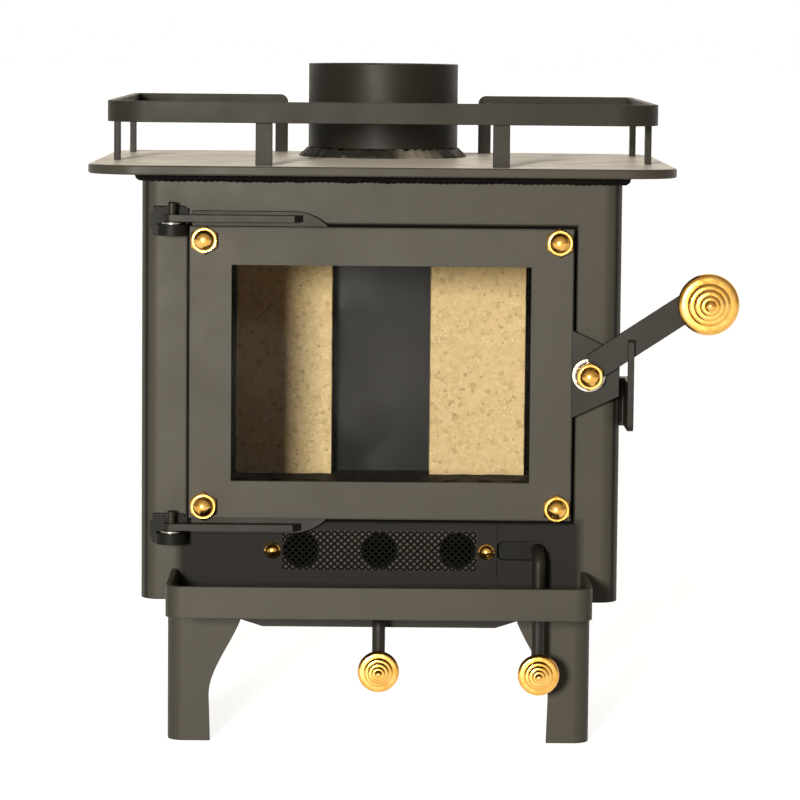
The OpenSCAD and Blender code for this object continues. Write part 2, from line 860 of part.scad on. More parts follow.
// The rear plate of the door: it holds the glass and the rope gasket.
module door_panel() {
    z_mid = door_z + door_h / 2;
    color(dark_paint) placed() difference() {
        along_y(door_ymid, door_y1) translate([-door_w / 2, door_z]) square([door_w, door_h]);
        along_y(door_ymid - 1, door_y1 + 1)
            translate([-glass_w / 2 - 0.5, z_mid - glass_h / 2 - 0.5]) square([glass_w + 1, glass_h + 1]);
        along_y(door_y1 - 1.5, door_y1 + 1) gasket_outline(0);
    }
}

module gasket_outline(shrink) {
    z_mid = door_z + door_h / 2;
    w = door_w - 1.4 - 2 * shrink;
    h = mouth_h + 8.6 - 2 * shrink;
    frame_outline(w, h, z_mid, 3.6 - 2 * shrink);
}

module door_glass() {
    z_mid = door_z + door_h / 2;
    color([0.75, 0.8, 0.8, 0.3]) placed() along_y(door_ymid, door_ymid + glass_t)
        translate([-glass_w / 2, z_mid - glass_h / 2]) square([glass_w, glass_h]);
}

// Thin woven tape between the glass's edge and the door panel's opening.
module glass_gasket() {
    z_mid = door_z + door_h / 2;
    color(rope) placed() along_y(door_ymid, door_y1)
        frame_outline(glass_w + 0.9, glass_h + 0.9, z_mid, 0.4);
}

module glass_retainer() {
    z_mid = door_z + door_h / 2;
    y0 = door_ymid + glass_t;
    color(dark_paint) placed() along_y(y0, y0 + 1.5)
        frame_outline(glass_w + 6, glass_h + 4, z_mid, glass_over);
}

module door_gasket() {
    color(rope) placed() along_y(door_y1 - 1.5, -play) gasket_outline(0.1);
}

module door_studs() {
    color(steel) placed() for (s = [-1, 1], z = [door_z + stud_dz, door_top - stud_dz])
        bar_y(s * stud_x, z, stud_r, door_y0 - nut_h + 1, door_ymid);
}

module door_nuts() {
    color(brass) placed() for (s = [-1, 1], z = [door_z + stud_dz, door_top - stud_dz])
        dome_nut(s * stud_x, door_y0, z, nut_af, nut_h);
}

// A flat strap with its eye on the hinge pin, lying with its underside at z.
module hinge_strap(z) {
    color(dark_paint) placed() difference() {
        union() {
            translate([hinge_x, hinge_y, z]) cylinder(r = eye_r, h = strap_t);
            block([hinge_x, hinge_y - eye_r, z], [hinge_x + strap_l - 4, door_ymid, z + strap_t]);
            translate([0, 0, z]) linear_extrude(strap_t) polygon([
                [hinge_x + strap_l - 4, hinge_y - eye_r],
                [hinge_x + strap_l, door_ymid],
                [hinge_x + strap_l - 4, door_ymid]
            ]);
        }
        translate([hinge_x, hinge_y, z - 1]) cylinder(r = pin_r + run_gap, h = strap_t + 2);
        block([hinge_x - 20, hinge_y + eye_r, z - 1], [-door_w / 2 - 1.5, 5, z + strap_t + 1]);
    }
}

module hinge_strap_upper() {
    hinge_strap(upper_strap_z);
}

module hinge_strap_lower() {
    hinge_strap(lower_strap_z);
}

// Upright plates that tie the straps to the door's top and bottom edges, each with a curved end.
module hinge_gussets() {
    x0 = -door_w / 2 + 1;
    tip_x = hinge_x + strap_l + 19;
    high = 7.4;
    sweep_r = 24;
    color(dark_paint) placed() for (side = [-1, 1]) {
        edge = side > 0 ? door_top : door_z;
        along_y(door_ymid, door_y1) intersection() {
            translate([x0, min(edge, edge + side * high)]) square([tip_x - x0, high]);
            union() {
                translate([x0, min(edge, edge + side * high)]) square([tip_x - x0 - sweep_r, high]);
                translate([tip_x - sweep_r, edge + side * (high - sweep_r)]) circle(sweep_r, $fn = 96);
            }
        }
    }
}

// ---- latch on the door ----

// A tapering plate on the door's right edge that carries the handle's pivot.
module latch_bracket() {
    root_h = 41.4;
    tip_h = 20.8;
    tip_x = door_w / 2 + 22;
    root_z = pivot_z + 0.3;
    color(dark_paint) placed() difference() {
        along_y(latch_y0, latch_y1) polygon([
            [door_w / 2, root_z - root_h / 2],
            [tip_x, root_z - tip_h / 2],
            [tip_x, root_z + tip_h / 2],
            [door_w / 2, root_z + root_h / 2]
        ]);
        bar_y(pivot_x, pivot_z, stud_r, latch_y0 - 1, latch_y1 + 1);
    }
}

module latch_pivot_stud() {
    head_r = 4;
    color(steel) placed() {
        bar_y(pivot_x, pivot_z, stud_r, arm_y0 - play - nut_h + 1, latch_y1);
        bar_y(pivot_x, pivot_z, head_r, latch_y1, latch_y1 + 1.8);
    }
}

module latch_pivot_nut() {
    color(brass) placed() dome_nut(pivot_x, arm_y0 - play, pivot_z, nut_af, nut_h);
}

module latch_washer() {
    color(steel) placed() difference() {
        bar_y(pivot_x, pivot_z, washer_r, latch_y0 - washer_t, latch_y0);
        bar_y(pivot_x, pivot_z, stud_r, latch_y0 - washer_t - 1, latch_y0 + 1);
    }
}

// ---- handle ----

// The arm's middle line runs a little above its pivot and its knob; a round pad at each end holds the hole.
module handle_arm() {
    low = arm_lift - arm_w / 2;
    rise = arm_l * tan(arm_turn);
    bevel = 4.5;
    color(dark_paint) placed() translate([pivot_x, arm_y1, pivot_z]) rotate([90, 0, 0])
        rotate([0, 0, arm_angle]) difference() {
            linear_extrude(arm_t) union() {
                circle(d = arm_w);
                polygon([[-1, low], [arm_l, low + rise], [arm_l, low + arm_w + rise], [bevel, low + arm_w]]);
                translate([arm_l, 0]) circle(d = arm_w);
            }
            translate([0, 0, -1]) cylinder(r = stud_r + run_gap, h = arm_t + 2);
            translate([arm_l, 0, -1]) cylinder(r = knob_screw_r + 0.05, h = arm_t + 2);
        }
}

module handle_knob() {
    color(brass) placed()
        beehive_knob(pivot_x + knob_dx, arm_y0, pivot_z + knob_dz, knob_d, knob_screw_r, knob_screw_l);
}

module handle_knob_screw() {
    x = pivot_x + knob_dx;
    z = pivot_z + knob_dz;
    color(steel) placed() {
        bar_y(x, z, knob_screw_r, arm_y0 - knob_screw_l, arm_y1);
        bar_y(x, z, 2 * knob_screw_r, arm_y1, arm_y1 + 2.2);
    }
}

top_plate();
top_seam();
body_shell();
back_panel();
base_plate();
flue_collar();
flue_foot();
rail_front();
rail_rear_left();
rail_rear_right();
rail_posts();
ash_shelf();
ash_lip();
leg_front_left();
leg_front_right();
leg_rear_left();
leg_rear_right();
air_cover_plate();
air_screen();
air_screen_nuts();
air_slide_guides();
under_pan();
primary_guides();
hinge_bracket_upper();
hinge_bracket_lower();
hinge_pins();
hinge_washers();
latch_keeper();
brick_rear_left();
brick_rear_right();
brick_side_left();
brick_side_right();
brick_retainers();
fire_grate();
baffle_plate();
firebox_ledges();
door_frame();
door_panel();
door_glass();
glass_gasket();
glass_retainer();
door_gasket();
door_studs();
door_nuts();
hinge_strap_upper();
hinge_strap_lower();
hinge_gussets();
latch_bracket();
latch_pivot_stud();
latch_pivot_nut();
latch_washer();
handle_arm();
handle_knob();
handle_knob_screw();
air_slide();
air_rod();
air_knob();
primary_slide();
primary_rod();
primary_knob();
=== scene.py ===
"""Looks of the small wood burning stove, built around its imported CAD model."""
import json
import math

import bpy
from mathutils import Matrix, Vector, noise


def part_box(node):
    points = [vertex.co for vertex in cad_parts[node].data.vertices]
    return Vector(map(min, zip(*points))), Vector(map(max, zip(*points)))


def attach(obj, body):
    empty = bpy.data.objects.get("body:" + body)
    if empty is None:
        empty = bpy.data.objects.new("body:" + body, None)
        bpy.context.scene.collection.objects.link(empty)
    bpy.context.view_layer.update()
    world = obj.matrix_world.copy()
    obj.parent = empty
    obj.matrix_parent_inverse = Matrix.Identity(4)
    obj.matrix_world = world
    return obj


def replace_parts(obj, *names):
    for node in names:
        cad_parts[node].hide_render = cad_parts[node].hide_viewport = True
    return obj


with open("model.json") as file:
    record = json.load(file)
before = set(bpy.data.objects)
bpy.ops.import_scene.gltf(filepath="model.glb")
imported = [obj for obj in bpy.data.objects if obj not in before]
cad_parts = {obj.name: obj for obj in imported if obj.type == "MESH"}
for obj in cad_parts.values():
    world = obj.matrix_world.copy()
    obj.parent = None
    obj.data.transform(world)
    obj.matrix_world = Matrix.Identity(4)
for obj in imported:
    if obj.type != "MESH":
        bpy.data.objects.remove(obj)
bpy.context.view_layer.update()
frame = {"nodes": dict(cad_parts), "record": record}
nodes = frame["nodes"]
scene = bpy.context.scene
mm = 0.001


# ---------------------------------------------------------------- camera and light

def set_camera():
    """The camera stands in front of the stove, a little above its rail, and looks down on it."""
    place = Vector((-0.0138, -1.8745, 0.3427))
    turn_right, tilt_down, roll = 0.0048, 0.0981, 0.0091
    focal_per_frame = 4.7375
    sensor = 36.0
    forward = Vector((math.sin(turn_right) * math.cos(tilt_down),
                      math.cos(turn_right) * math.cos(tilt_down),
                      -math.sin(tilt_down)))
    level = Vector((math.cos(turn_right), -math.sin(turn_right), 0))
    upright = level.cross(forward)
    right = level * math.cos(roll) + upright * math.sin(roll)
    up = upright * math.cos(roll) - level * math.sin(roll)
    data = bpy.data.cameras.new("camera")
    data.sensor_width = sensor
    data.lens = sensor * focal_per_frame
    data.clip_start = 0.05
    data.clip_end = 50
    camera = bpy.data.objects.new("camera", data)
    facing = Matrix((right, up, -forward)).transposed().to_4x4()
    camera.matrix_world = Matrix.Translation(place) @ facing
    scene.collection.objects.link(camera)
    scene.camera = camera


def area_light(name, place, target, size, power, color):
    data = bpy.data.lights.new(name, "AREA")
    data.shape = "RECTANGLE"
    data.size, data.size_y = size
    data.energy = power
    data.color = color
    lamp = bpy.data.objects.new(name, data)
    lamp.location = place
    lamp.rotation_euler = (Vector(target) - Vector(place)).to_track_quat("-Z", "Y").to_euler()
    scene.collection.objects.link(lamp)


def set_world():
    """Plain white to the camera, a dim warm fill on the stove, and bright cards in its reflections.

    Both ramps run from the camera's side (0) round to behind the stove (1)."""
    world = bpy.data.worlds.new("studio")
    world.use_nodes = True
    scene.world = world
    tree = world.node_tree
    backdrop = tree.nodes["Background"]
    backdrop.inputs["Color"].default_value = (1, 1, 1, 1)
    direction = tree.nodes.new("ShaderNodeTexCoord")
    parts = tree.nodes.new("ShaderNodeSeparateXYZ")
    tree.links.new(direction.outputs["Generated"], parts.inputs[0])
    depth = tree.nodes.new("ShaderNodeMapRange")
    depth.inputs["From Min"].default_value = -1
    tree.links.new(parts.outputs["Y"], depth.inputs["Value"])
    path = tree.nodes.new("ShaderNodeLightPath")
    fill = [(0.0, 0.06), (0.2, 0.07), (0.4, 0.1), (0.62, 0.1), (0.85, 0.12), (1.0, 0.16)]
    cards = [(0.0, 0.82), (0.1, 0.76), (0.32, 0.42), (0.62, 0.2), (0.85, 1.1), (1.0, 2.2)]
    warm = (1, 0.92, 0.8)
    lights = []
    for stops in (fill, cards):
        ramp = tree.nodes.new("ShaderNodeValToRGB")
        tree.links.new(depth.outputs["Result"], ramp.inputs["Fac"])
        set_stops(ramp, [(at, shade(warm, level)) for at, level in stops])
        light = tree.nodes.new("ShaderNodeBackground")
        tree.links.new(ramp.outputs["Color"], light.inputs["Color"])
        lights.append(light.outputs[0])
    shader = mixed_light(tree, path.outputs["Is Glossy Ray"], *lights)
    shader = mixed_light(tree, path.outputs["Is Camera Ray"], shader, backdrop.outputs[0])
    tree.links.new(shader, tree.nodes["World Output"].inputs["Surface"])


def mixed_light(tree, factor, first, second):
    """The second light where the factor is 1, and the first elsewhere."""
    mix = tree.nodes.new("ShaderNodeMixShader")
    for source, target in ((factor, mix.inputs["Fac"]), (first, mix.inputs[1]), (second, mix.inputs[2])):
        tree.links.new(source, target)
    return mix.outputs[0]


# ---------------------------------------------------------------- material nodes

def shade(color, factor):
    return tuple(part * factor for part in color)


def set_stops(ramp, stops):
    """Gives a colour ramp its stops: (position, (red, green, blue))."""
    elements = ramp.color_ramp.elements
    while len(elements) < len(stops):
        elements.new(0.5)
    for element, (at, color) in zip(elements, stops):
        element.position = at
        element.color = (*color, 1)


class Look:
    """A procedural material under construction, measured in the object's own metres."""

    def __init__(self, name, rough, metallic=0.0):
        self.material = bpy.data.materials.new(name)
        self.material.use_nodes = True
        self.tree = self.material.node_tree
        self.shader = self.tree.nodes["Principled BSDF"]
        self.shader.inputs["Roughness"].default_value = rough
        self.shader.inputs["Metallic"].default_value = metallic
        self.place = self.tree.nodes.new("ShaderNodeTexCoord").outputs["Object"]

    def node(self, kind, **values):
        made = self.tree.nodes.new(kind)
        for key, value in values.items():
            setattr(made, key, value)
        return made

    def link(self, source, target):
        self.tree.links.new(source, target)

    def stretched(self, scale):
        """Object coordinates scaled along each axis."""
        mapping = self.node("ShaderNodeMapping")
        mapping.inputs["Scale"].default_value = scale
        self.link(self.place, mapping.inputs["Vector"])
        return mapping.outputs["Vector"]

    def noise(self, grain, detail=3.0, stretch=None):
        """Cloudy noise whose features are about grain metres across."""
        made = self.node("ShaderNodeTexNoise")
        made.inputs["Scale"].default_value = 1 / grain
        made.inputs["Detail"].default_value = detail
        self.link(self.stretched(stretch) if stretch else self.place, made.inputs["Vector"])
        return made.outputs["Fac"]

    def cells(self, size, output="Distance"):
        """Flakes of about the given size: how far the middle of each is, or its own colour."""
        made = self.node("ShaderNodeTexVoronoi")
        made.inputs["Scale"].default_value = 1 / size
        self.link(self.place, made.inputs["Vector"])
        return made.outputs[output]

    def ramp(self, source, stops):
        made = self.node("ShaderNodeValToRGB")
        set_stops(made, stops)
        self.link(source, made.inputs["Fac"])
        return made.outputs["Color"]

    def levels(self, source, low, high, out_low, out_high):
        """Maps low..high of a value onto out_low..out_high."""
        made = self.node("ShaderNodeMapRange")
        for socket, value in zip(made.inputs[1:5], (low, high, out_low, out_high)):
            socket.default_value = value
        self.link(source, made.inputs["Value"])
        return made.outputs["Result"]

    def mixed(self, factor, first, second, blend="MIX"):
        """Mixes two colours or sockets by a number or a socket."""
        made = self.node("ShaderNodeMix", data_type="RGBA", blend_type=blend)
        for socket, value in ((made.inputs[0], factor), (made.inputs[6], first), (made.inputs[7], second)):
            if isinstance(value, bpy.types.NodeSocket):
                self.link(value, socket)
            else:
                socket.default_value = value
        return made.outputs[2]

    def bump(self, height, strength, depth, under=None):
        """A normal from a height, on top of another normal if one is given."""
        made = self.node("ShaderNodeBump")
        made.inputs["Strength"].default_value = strength
        made.inputs["Distance"].default_value = depth
        self.link(height, made.inputs["Height"])
        if under:
            self.link(under, made.inputs["Normal"])
        return made.outputs["Normal"]

    def finish(self, color=None, rough=None, normal=None):
        for name, source in (("Base Color", color), ("Roughness", rough), ("Normal", normal)):
            if source:
                self.link(source, self.shader.inputs[name])
        return self.material


def inside(look, low, high, edge=0.0006):
    """1 inside a box and 0 outside it."""
    centre = (Vector(low) + Vector(high)) / 2
    half = (Vector(high) - Vector(low)) / 2
    place = look.place
    for operation, value in (("SUBTRACT", centre), ("ABSOLUTE", None), ("SUBTRACT", half)):
        step = look.node("ShaderNodeVectorMath", operation=operation)
        look.link(place, step.inputs[0])
        if value:
            step.inputs[1].default_value = value
        place = step.outputs[0]
    parts = look.node("ShaderNodeSeparateXYZ")
    look.link(place, parts.inputs[0])
    most = parts.outputs[0]
    for other in (parts.outputs[1], parts.outputs[2]):
        greater = look.node("ShaderNodeMath", operation="MAXIMUM")
        look.link(most, greater.inputs[0])
        look.link(other, greater.inputs[1])
        most = greater.outputs[0]
    return look.levels(most, -edge, edge, 1.0, 0.0)


def paint_look(name, rough, gloss, dust_and_sheen=0.0):
    """A paint's own values: how rough and glossy it is, and its pale dust and sheen, which also stands in
    for bright light on glancing tops.
    """
    look = Look(name, rough)
    look.shader.inputs["Specular IOR Level"].default_value = gloss
    look.shader.inputs["Sheen Weight"].default_value = dust_and_sheen
    look.shader.inputs["Sheen Roughness"].default_value = 0.35
    look.shader.inputs["Sheen Tint"].default_value = (1, 0.9, 0.76, 1)
    return look


def paint_coat(look, color, rough, spread=0.05, grain_bump=0.12):
    """Satin high-temperature paint: faint clouds, fine spray grain and burnished patches."""
    clouds = look.noise(0.055, 4)
    grain = look.noise(0.0006, 2)
    base = look.ramp(clouds, [(0.3, shade(color, 0.93)), (0.55, color), (0.75, shade(color, 1.08))])
    specks = look.ramp(grain, [(0.35, (0.42, 0.42, 0.42)), (0.65, (0.58, 0.58, 0.58))])
    base = look.mixed(0.35, base, specks, "OVERLAY")
    smears = look.noise(0.018, 5)
    rough_map = look.levels(smears, 0.3, 0.7, rough - spread, rough + spread)
    coarse = look.bump(look.noise(0.0035, 3), grain_bump * 0.35, 0.00005)
    return base, rough_map, look.bump(grain, grain_bump, 0.00003, coarse)


def stove_paint(name, color, rough, gloss, dust_and_sheen=0.0, spread=0.05, grain_bump=0.12):
    look = paint_look(name, rough, gloss, dust_and_sheen)
    return look.finish(*paint_coat(look, color, rough, spread, grain_bump))


def body_paint(color, rough, gloss):
    """The body's paint: painted shade behind the ash lip and along the door's edge, sooty in the firebox.

    Behind the air screen the painted shade is much weaker, so that the mesh shows against it."""
    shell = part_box("body_shell")
    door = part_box("door_frame")
    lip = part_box("ash_lip")
    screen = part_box("air_screen")
    front = shell[0].y
    wall = 4 * mm
    lip_wall = 3.2 * mm
    # Boxes for the painted shade behind the ash lip, and for its weaker part behind the air screen.
    behind_lip = (Vector((lip[0].x + lip_wall, lip[0].y + lip_wall, lip[0].z)),
                  Vector((lip[1].x - lip_wall, front + 3 * mm, door[0].z - 1 * mm)))
    behind_screen = (screen[0], screen[1] + Vector((0, 3 * mm, 0)))
    # Box for the painted shadow line round the door's edge.
    door_shadow_line = (Vector((door[0].x - 1.7 * mm, front - 1 * mm, door[0].z - 2.8 * mm)),
                 Vector((door[1].x + 2.2 * mm, front + 2 * mm, door[1].z + 1.6 * mm)))
    mid_wall = Vector((wall, wall, 0)) / 2
    firebox = (shell[0] + mid_wall, shell[1] - mid_wall)

    look = paint_look("body_stove_paint", rough, gloss)
    base, rough_map, normal = paint_coat(look, color, rough)

    # Painted shade: behind the ash lip the paint is darkened to near black and made rough, much less
    # behind the screen.
    shadow = inside(look, *behind_lip, 0.0022)
    paler = look.mixed(0.75, shadow, (0, 0, 0, 1))
    painted_shade = look.mixed(inside(look, *behind_screen), shadow, paler)
    base = look.mixed(painted_shade, base, (0.019, 0.018, 0.0155, 1))
    rough_map = look.mixed(painted_shade, rough_map, (0.75, 0.75, 0.75, 1))

    # Painted shadow: a thin near-black, fully rough band on the paint round the door, where the door
    # shades the body.
    line = inside(look, *door_shadow_line)
    base = look.mixed(line, base, (0.003, 0.003, 0.0025, 1))
    rough_map = look.mixed(line, rough_map, (1, 1, 1, 1))

    sooty = inside(look, *firebox)
    soot = look.ramp(look.noise(0.03, 5), [(0.3, (0.002, 0.002, 0.0018)),
                                           (0.7, (0.009, 0.0085, 0.007))])
    base = look.mixed(sooty, base, soot)
    warp = look.bump(look.noise(0.07, 1), 0.5, 0.004)
    normal = look.mixed(sooty, normal, warp)
    greasy = look.levels(look.noise(0.045, 3), 0.38, 0.62, 0.34, 0.75)
    return look.finish(base, look.mixed(sooty, rough_map, greasy), normal)


def weld_steel():
    """Painted weld in cloudy patches, from dark paint to pale grey: the pale patches are painted light, so
    that the fillet looks as lit as the plate beside it.
    """
    look = Look("painted_weld", 0.6)
    look.shader.inputs["Specular IOR Level"].default_value = 0.2
    # Pale grey patches: painted light on the weld.
    base = look.ramp(look.noise(0.022, 4), [(0.42, (0.02, 0.018, 0.014)), (0.62, (0.2, 0.175, 0.135))])
    return look.finish(base, look.levels(look.noise(0.004), 0.3, 0.7, 0.5, 0.7),
                       look.bump(look.noise(0.0012, 3), 0.3, 0.0001))


def heat_steel(name, color, rough):
    """Bare steel darkened by fire: brown and blue-grey clouds, with a little rust."""
    look = Look(name, rough)
    look.shader.inputs["Specular IOR Level"].default_value = 0.1
    clouds = look.noise(0.04, 5)
    base = look.ramp(clouds, [(0.32, shade(color, 0.7)), (0.5, color),
                              (0.68, (color[0] * 1.25, color[1] * 1.15, color[2]))])
    rust = look.levels(look.noise(0.006, 6), 0.6, 0.72, 0.0, 0.45)
    base = look.mixed(rust, base, (0.11, 0.055, 0.028, 1))
    rough_map = look.levels(clouds, 0.3, 0.7, rough - 0.08, rough + 0.1)
    return look.finish(base, rough_map, look.bump(look.noise(0.0009, 3), 0.2, 0.00006))


def cast_iron():
    look = Look("rough_cast_iron", 0.75)
    look.shader.inputs["Specular IOR Level"].default_value = 0.1
    base = look.ramp(look.noise(0.012, 5), [(0.3, (0.008, 0.007, 0.006)), (0.7, (0.022, 0.018, 0.014))])
    sand = look.bump(look.noise(0.0011, 2), 0.55, 0.0003)
    return look.finish(base, look.levels(look.noise(0.008), 0.3, 0.7, 0.6, 0.85), sand)


def polished_brass():
    """Brass turned on a lathe and buffed, with a few soft hand marks."""
    look = Look("polished_brass", 0.16, 1.0)
    tone = look.noise(0.006, 3)
    base = look.ramp(tone, [(0.3, (0.73, 0.385, 0.075)), (0.55, (0.82, 0.465, 0.12)),
                            (0.8, (0.9, 0.57, 0.19))])
    marks = look.noise(0.0022, 5)
    rough_map = look.levels(marks, 0.35, 0.7, 0.18, 0.31)
    dents = look.bump(look.noise(0.0022, 3), 0.3, 0.00012)
    return look.finish(base, rough_map, dents)


def turned_steel():
    look = Look("turned_steel", 0.3, 1.0)
    streaks = look.noise(0.0012, 3, (1, 1, 12))
    base = look.ramp(streaks, [(0.3, (0.30, 0.28, 0.25)), (0.7, (0.46, 0.43, 0.38))])
    return look.finish(base, look.levels(streaks, 0.3, 0.7, 0.22, 0.4), look.bump(streaks, 0.15, 0.00005))


def vermiculite():
    """Pressed vermiculite board: a pale gold mass of flakes, with a few dark and a few bright ones."""
    look = Look("vermiculite_board", 0.85)
    flakes = look.cells(0.0024, output="Color")
    flake = look.node("ShaderNodeSeparateColor")
    look.link(flakes, flake.inputs[0])
    base = look.ramp(flake.outputs[0], [(0.0, (0.56, 0.42, 0.19)), (0.1, (0.68, 0.52, 0.25)),
                                        (0.5, (0.73, 0.56, 0.28)), (1.0, (0.77, 0.6, 0.31))])
    fine = look.ramp(look.noise(0.0011, 4), [(0.3, (0.38, 0.38, 0.38)), (0.7, (0.6, 0.6, 0.6))])
    base = look.mixed(0.5, base, fine, "OVERLAY")
    spots = look.levels(look.noise(0.0022, 2), 0.66, 0.7, 0.0, 0.65)
    base = look.mixed(spots, base, (0.28, 0.18, 0.07, 1))
    glints = look.levels(look.cells(0.0036), 0.12, 0.2, 0.5, 0.0)
    base = look.mixed(glints, base, (0.95, 0.82, 0.5, 1))
    rough_map = look.levels(flake.outputs[1], 0.0, 1.0, 0.62, 0.95)
    pits = look.bump(look.noise(0.0018, 4), 0.5, 0.0004)
    normal = look.bump(look.cells(0.0024), 0.25, 0.0003, pits)
    return look.finish(base, rough_map, normal)


def clear_glass():
    look = Look("clear_stove_glass", 0.03)
    look.shader.inputs["Base Color"].default_value = (0.02, 0.022, 0.02, 1)
    look.shader.inputs["Alpha"].default_value = 0.04
    smoke = look.noise(0.05, 4)
    return look.finish(rough=look.levels(smoke, 0.3, 0.75, 0.02, 0.09))


def glass_rope():
    look = Look("glass_fibre_rope", 0.9)
    look.shader.inputs["Sheen Weight"].default_value = 0.3
    yarn = look.noise(0.0005, 3, (1, 1, 3))
    base = look.ramp(yarn, [(0.3, (0.11, 0.105, 0.095)), (0.7, (0.3, 0.285, 0.26))])
    return look.finish(base, normal=look.bump(yarn, 0.6, 0.0002))


def pale_floor():
    look = Look("pale_floor", 0.7)
    look.shader.inputs["Emission Color"].default_value = (1, 0.995, 0.985, 1)
    look.shader.inputs["Emission Strength"].default_value = 0.86
    base = look.ramp(look.noise(0.4, 3), [(0.3, (0.80, 0.797, 0.79)), (0.7, (0.84, 0.837, 0.83))])
    return look.finish(base)


looks = {
    "body_paint": body_paint((0.062, 0.056, 0.043), 0.46, gloss=0.15),
    # The plate's dust and sheen is partly painted light: it brightens the plate's top as light from above
    # would.
    "plate_paint": stove_paint("plate_stove_paint", (0.06, 0.054, 0.041), 0.42, gloss=0.12,
                               dust_and_sheen=0.14, spread=0.06, grain_bump=0.08),
    "dark_paint": stove_paint("fittings_stove_paint", (0.015, 0.0125, 0.009), 0.47, gloss=0.2),
    "inner_steel": heat_steel("heat_darkened_steel", (0.009, 0.0085, 0.008), 0.5),
    "cast_grate": cast_iron(),
    "mesh_steel": stove_paint("screen_paint", (0.006, 0.006, 0.005), 0.8, gloss=0.04),
    "bare_steel": turned_steel(),
    "brass": polished_brass(),
    "firebrick": vermiculite(),
    "window_glass": clear_glass(),
    "rope_seal": glass_rope(),
}
weld_look = weld_steel()
rail_look = stove_paint("rail_paint", (0.03, 0.0265, 0.02), 0.46, gloss=0.11)
lug_look = stove_paint("hinge_lug_paint", (0.006, 0.0055, 0.0045), 0.5, gloss=0.12)
rail_nodes = ("rail_front", "rail_rear_left", "rail_rear_right", "rail_posts")
lug_nodes = ("hinge_bracket_upper", "hinge_bracket_lower")
own_look = {name: rail_look for name in rail_nodes} | {name: lug_look for name in lug_nodes}
slot_of = {part["node"]: part["material_slot"] for part in frame["record"]["subparts"]}
body_of = {node: body for body, names in frame["record"]["behaviour"]["bodies"].items() for node in names}


# ---------------------------------------------------------------- CAD nodes that stay

def soften(node, width):
    """Rounds a kept CAD part's sharp edges a little and shades its curved faces smoothly."""
    part = nodes[node]
    part.data.polygons.foreach_set("use_smooth", [True] * len(part.data.polygons))
    if part.data.has_custom_normals:
        part.data.attributes.remove(part.data.attributes["custom_normal"])
    weld = part.modifiers.new("weld", "WELD")
    weld.merge_threshold = 0.000002
    flat = part.modifiers.new("flat", "DECIMATE")
    flat.decimate_type = "DISSOLVE"
    flat.angle_limit = math.radians(0.3)
    bevel = part.modifiers.new("edge", "BEVEL")
    bevel.width = width
    bevel.segments = 2
    bevel.limit_method = "ANGLE"
    bevel.angle_limit = math.radians(32)
    bevel.harden_normals = True


def dress_cad_nodes(replaced):
    """Gives each kept CAD part its material, and an edge as round as its steel is thick."""
    edge_mm = {"top_plate": 0.8, "body_shell": 0.5, "fire_grate": 1.0, "door_frame": 0.5,
               "ash_lip": 0.5, "door_glass": 0.3, "air_cover_plate": 0.25, "glass_gasket": 0.1}
    for name, part in nodes.items():
        part.data.materials.clear()
        part.data.materials.append(own_look.get(name, looks[slot_of[name]]))
        if name not in replaced:
            soften(name, edge_mm.get(name, 0.35) * mm)


# ---------------------------------------------------------------- mesh building

def piece(name, points, faces, node, sharp=None, look=None):
    """A new mesh that rides with the CAD node, in its finish or another."""
    mesh = bpy.data.meshes.new(name)
    mesh.from_pydata([tuple(p) for p in points], [], faces)
    mesh.validate()
    mesh.polygons.foreach_set("use_smooth", [True] * len(mesh.polygons))
    if sharp:
        mesh.set_sharp_from_angle(angle=math.radians(sharp))
    made = bpy.data.objects.new(name, mesh)
    mesh.materials.append(look or looks[slot_of[node]])
    scene.collection.objects.link(made)
    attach(made, body_of[node])
    return made


def tube_faces(rows, sides, closed=False):
    """Faces of a tube of rows of points: it runs into its own start, or has a cap at each end."""
    faces = []
    for row in range(rows if closed else rows - 1):
        here, there = row * sides, (row + 1) % rows * sides
        for side in range(sides):
            after = (side + 1) % sides
            faces.append((here + side, here + after, there + after, there + side))
    if not closed:
        faces.append(tuple(reversed(range(sides))))
        faces.append(tuple(range((rows - 1) * sides, rows * sides)))
    return faces


def full_turn(segments):
    return [2 * math.pi * step / segments for step in range(segments)]


def rings(rows, base):
    """A closed skin about the line through base that points to -Y, from rows of (radii, reach)."""
    angles = full_turn(len(rows[0][0]))
    points = []
    for radii, reach in rows:
        for radius, angle in zip(radii, angles):
            points.append(base + Vector((radius * math.cos(angle), -reach, radius * math.sin(angle))))
    return points, tube_faces(len(rows), len(angles))


def lathe(profile, base, segments=96):
    """Turns a profile of (radius, reach) about the line through base that points to -Y."""
    return rings([([radius] * segments, reach) for radius, reach in profile], base)


def arc(centre, radius, start, end, steps):
    """Points of (radius, reach) on an arc, from start to end degrees."""
    turn = [math.radians(start + (end - start) * i / steps) for i in range(steps + 1)]
    return [(centre[0] + radius * math.cos(t), centre[1] + radius * math.sin(t)) for t in turn]


def join(parts):
    """Joins several (points, faces) into one."""
    points, faces = [], []
    for more_points, more_faces in parts:
        shift = len(points)
        points.extend(more_points)
        faces.extend(tuple(index + shift for index in face) for face in more_faces)
    return points, faces


# ---------------------------------------------------------------- brass

nut_flats = 12 * mm
screen_nut_rim = 3.9 * mm


